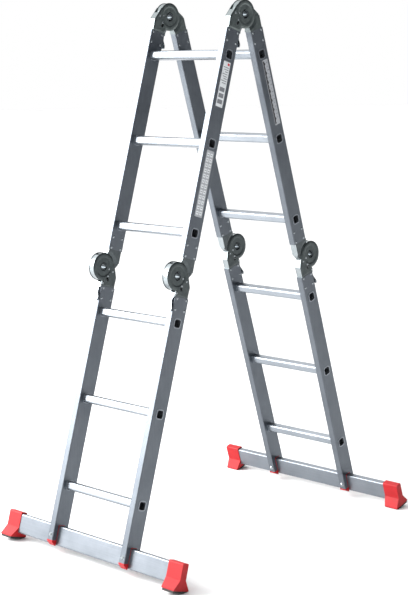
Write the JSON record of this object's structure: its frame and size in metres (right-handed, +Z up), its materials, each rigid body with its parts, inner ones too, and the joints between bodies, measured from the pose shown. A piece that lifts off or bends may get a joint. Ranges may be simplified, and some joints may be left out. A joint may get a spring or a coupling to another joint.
{
  "type": "multi position ladder",
  "caption": "Folding multi position ladder of hinged aluminium sections with locking hinges, wide stabilizer bars and flared feet, standing as an A-frame.",
  "frame": {"origin": "middle of the footprint at floor level, bottom centre of the bounding box", "axes": "+Z up, X along the rungs (+X the ladder's right side seen from the front leg), front leg leans towards -Y"},
  "size_m": [0.788, 1.1544, 1.7143],
  "materials": {
    "stile_aluminium": "satin extruded",
    "rung_aluminium": "satin extruded",
    "bar_aluminium": "satin extruded",
    "hinge_steel": "dark zinc plated",
    "knuckle_steel": "zinc plated",
    "bright_steel": "bright zinc plated",
    "lock_steel": "blackened",
    "red_plastic": "moulded, semi gloss",
    "label_film": "printed film",
    "black_rubber": "matt"
  },
  "bodies": {
    "front_upper": {"front_upper_left_stile": "stile_aluminium", "front_upper_right_stile": "stile_aluminium", "front_upper_rungs": "rung_aluminium", "front_upper_rivets": "bright_steel", "top_hinge_left_cheeks": "hinge_steel", "top_hinge_right_cheeks": "hinge_steel", "top_hinge_pivots": "bright_steel", "top_hinge_pins": "bright_steel", "front_hinge_left_knuckle": "knuckle_steel", "front_hinge_right_knuckle": "knuckle_steel"},
    "rear_upper": {"rear_upper_left_stile": "stile_aluminium", "rear_upper_right_stile": "stile_aluminium", "rear_upper_rungs": "rung_aluminium", "rear_upper_rivets": "bright_steel", "top_hinge_left_knuckle": "knuckle_steel", "top_hinge_right_knuckle": "knuckle_steel", "rear_hinge_left_knuckle": "knuckle_steel", "rear_hinge_right_knuckle": "knuckle_steel"},
    "front_lower": {"front_lower_left_stile": "stile_aluminium", "front_lower_right_stile": "stile_aluminium", "front_lower_rungs": "rung_aluminium", "front_lower_rivets": "bright_steel", "front_stabilizer_bar": "bar_aluminium", "front_stile_plugs": "red_plastic", "front_bar_bolts": "bright_steel", "front_left_foot": "red_plastic", "front_left_sole": "black_rubber", "front_right_foot": "red_plastic", "front_right_sole": "black_rubber", "front_hinge_left_cheeks": "hinge_steel", "front_hinge_right_cheeks": "hinge_steel", "front_hinge_pivots": "bright_steel", "front_hinge_pins": "bright_steel"},
    "rear_lower": {"rear_lower_left_stile": "stile_aluminium", "rear_lower_right_stile": "stile_aluminium", "rear_lower_rungs": "rung_aluminium", "rear_lower_rivets": "bright_steel", "rear_stabilizer_bar": "bar_aluminium", "rear_stile_plugs": "red_plastic", "rear_bar_bolts": "bright_steel", "rear_left_foot": "red_plastic", "rear_left_sole": "black_rubber", "rear_right_foot": "red_plastic", "rear_right_sole": "black_rubber", "rear_hinge_left_cheeks": "hinge_steel", "rear_hinge_right_cheeks": "hinge_steel", "rear_hinge_pivots": "bright_steel", "rear_hinge_pins": "bright_steel"},
    "top_hinge_left_lever": {"top_hinge_left_lever": "bright_steel"},
    "top_hinge_left_lock_bar": {"top_hinge_left_lock_bar": "lock_steel"},
    "top_hinge_right_lever": {"top_hinge_right_lever": "bright_steel"},
    "top_hinge_right_lock_bar": {"top_hinge_right_lock_bar": "lock_steel"},
    "front_hinge_left_lever": {"front_hinge_left_lever": "bright_steel"},
    "front_hinge_left_lock_bar": {"front_hinge_left_lock_bar": "lock_steel"},
    "front_hinge_right_lever": {"front_hinge_right_lever": "bright_steel"},
    "front_hinge_right_lock_bar": {"front_hinge_right_lock_bar": "lock_steel"},
    "rear_hinge_left_lever": {"rear_hinge_left_lever": "bright_steel"},
    "rear_hinge_left_lock_bar": {"rear_hinge_left_lock_bar": "lock_steel"},
    "rear_hinge_right_lever": {"rear_hinge_right_lever": "bright_steel"},
    "rear_hinge_right_lock_bar": {"rear_hinge_right_lock_bar": "lock_steel"}
  },
  "joints": [
    {"name": "top_hinge_turn", "type": "hinge", "parent": "front_upper", "child": "rear_upper", "pos_m": [0, 0, 1.66986], "axis": [-1, 0, 0], "range_deg": [-146, 34]},
    {"name": "front_hinge_turn", "type": "hinge", "parent": "front_upper", "child": "front_lower", "pos_m": [0, -0.31636, 0.8882], "axis": [-1, 0, 0], "range_deg": [0, 180]},
    {"name": "rear_hinge_turn", "type": "hinge", "parent": "rear_upper", "child": "rear_lower", "pos_m": [0, 0.31636, 0.8882], "axis": [1, 0, 0], "range_deg": [0, 180]},
    {"name": "top_hinge_left_lever_turn", "type": "hinge", "parent": "front_upper", "child": "top_hinge_left_lever", "pos_m": [-0.164, -0.02304, 1.62358], "axis": [1, 0, 0], "range_deg": [-4, 0]},
    {"name": "top_hinge_left_lock_slide", "type": "slide", "parent": "front_upper", "child": "top_hinge_left_lock_bar", "axis": [0, -0.788, -0.6157], "range_m": [-0.005, 0]},
    {"name": "top_hinge_right_lever_turn", "type": "hinge", "parent": "front_upper", "child": "top_hinge_right_lever", "pos_m": [0.164, -0.02304, 1.62358], "axis": [1, 0, 0], "range_deg": [-4, 0]},
    {"name": "top_hinge_right_lock_slide", "type": "slide", "parent": "front_upper", "child": "top_hinge_right_lock_bar", "axis": [0, -0.788, -0.6157], "range_m": [-0.005, 0]},
    {"name": "front_hinge_left_lever_turn", "type": "hinge", "parent": "front_lower", "child": "front_hinge_left_lever", "pos_m": [-0.164, -0.32314, 0.83695], "axis": [-1, 0, 0], "range_deg": [-4, 0]},
    {"name": "front_hinge_left_lock_slide", "type": "slide", "parent": "front_lower", "child": "front_hinge_left_lock_bar", "axis": [0, 0.309, -0.9511], "range_m": [-0.005, 0]},
    {"name": "front_hinge_right_lever_turn", "type": "hinge", "parent": "front_lower", "child": "front_hinge_right_lever", "pos_m": [0.164, -0.32314, 0.83695], "axis": [-1, 0, 0], "range_deg": [-4, 0]},
    {"name": "front_hinge_right_lock_slide", "type": "slide", "parent": "front_lower", "child": "front_hinge_right_lock_bar", "axis": [0, 0.309, -0.9511], "range_m": [-0.005, 0]},
    {"name": "rear_hinge_left_lever_turn", "type": "hinge", "parent": "rear_lower", "child": "rear_hinge_left_lever", "pos_m": [-0.164, 0.32314, 0.83695], "axis": [1, 0, 0], "range_deg": [-4, 0]},
    {"name": "rear_hinge_left_lock_slide", "type": "slide", "parent": "rear_lower", "child": "rear_hinge_left_lock_bar", "axis": [0, -0.309, -0.9511], "range_m": [-0.005, 0]},
    {"name": "rear_hinge_right_lever_turn", "type": "hinge", "parent": "rear_lower", "child": "rear_hinge_right_lever", "pos_m": [0.164, 0.32314, 0.83695], "axis": [1, 0, 0], "range_deg": [-4, 0]},
    {"name": "rear_hinge_right_lock_slide", "type": "slide", "parent": "rear_lower", "child": "rear_hinge_right_lock_bar", "axis": [0, -0.309, -0.9511], "range_m": [-0.005, 0]}
  ],
  "couplings": [
    {"joint": "top_hinge_left_lock_slide", "follows": "top_hinge_left_lever_turn", "m_per_rad": 0.071613},
    {"joint": "top_hinge_right_lock_slide", "follows": "top_hinge_right_lever_turn", "m_per_rad": 0.071613},
    {"joint": "front_hinge_left_lock_slide", "follows": "front_hinge_left_lever_turn", "m_per_rad": 0.071613},
    {"joint": "front_hinge_right_lock_slide", "follows": "front_hinge_right_lever_turn", "m_per_rad": 0.071613},
    {"joint": "rear_hinge_left_lock_slide", "follows": "rear_hinge_left_lever_turn", "m_per_rad": 0.071613},
    {"joint": "rear_hinge_right_lock_slide", "follows": "rear_hinge_right_lever_turn", "m_per_rad": 0.071613}
  ]
}
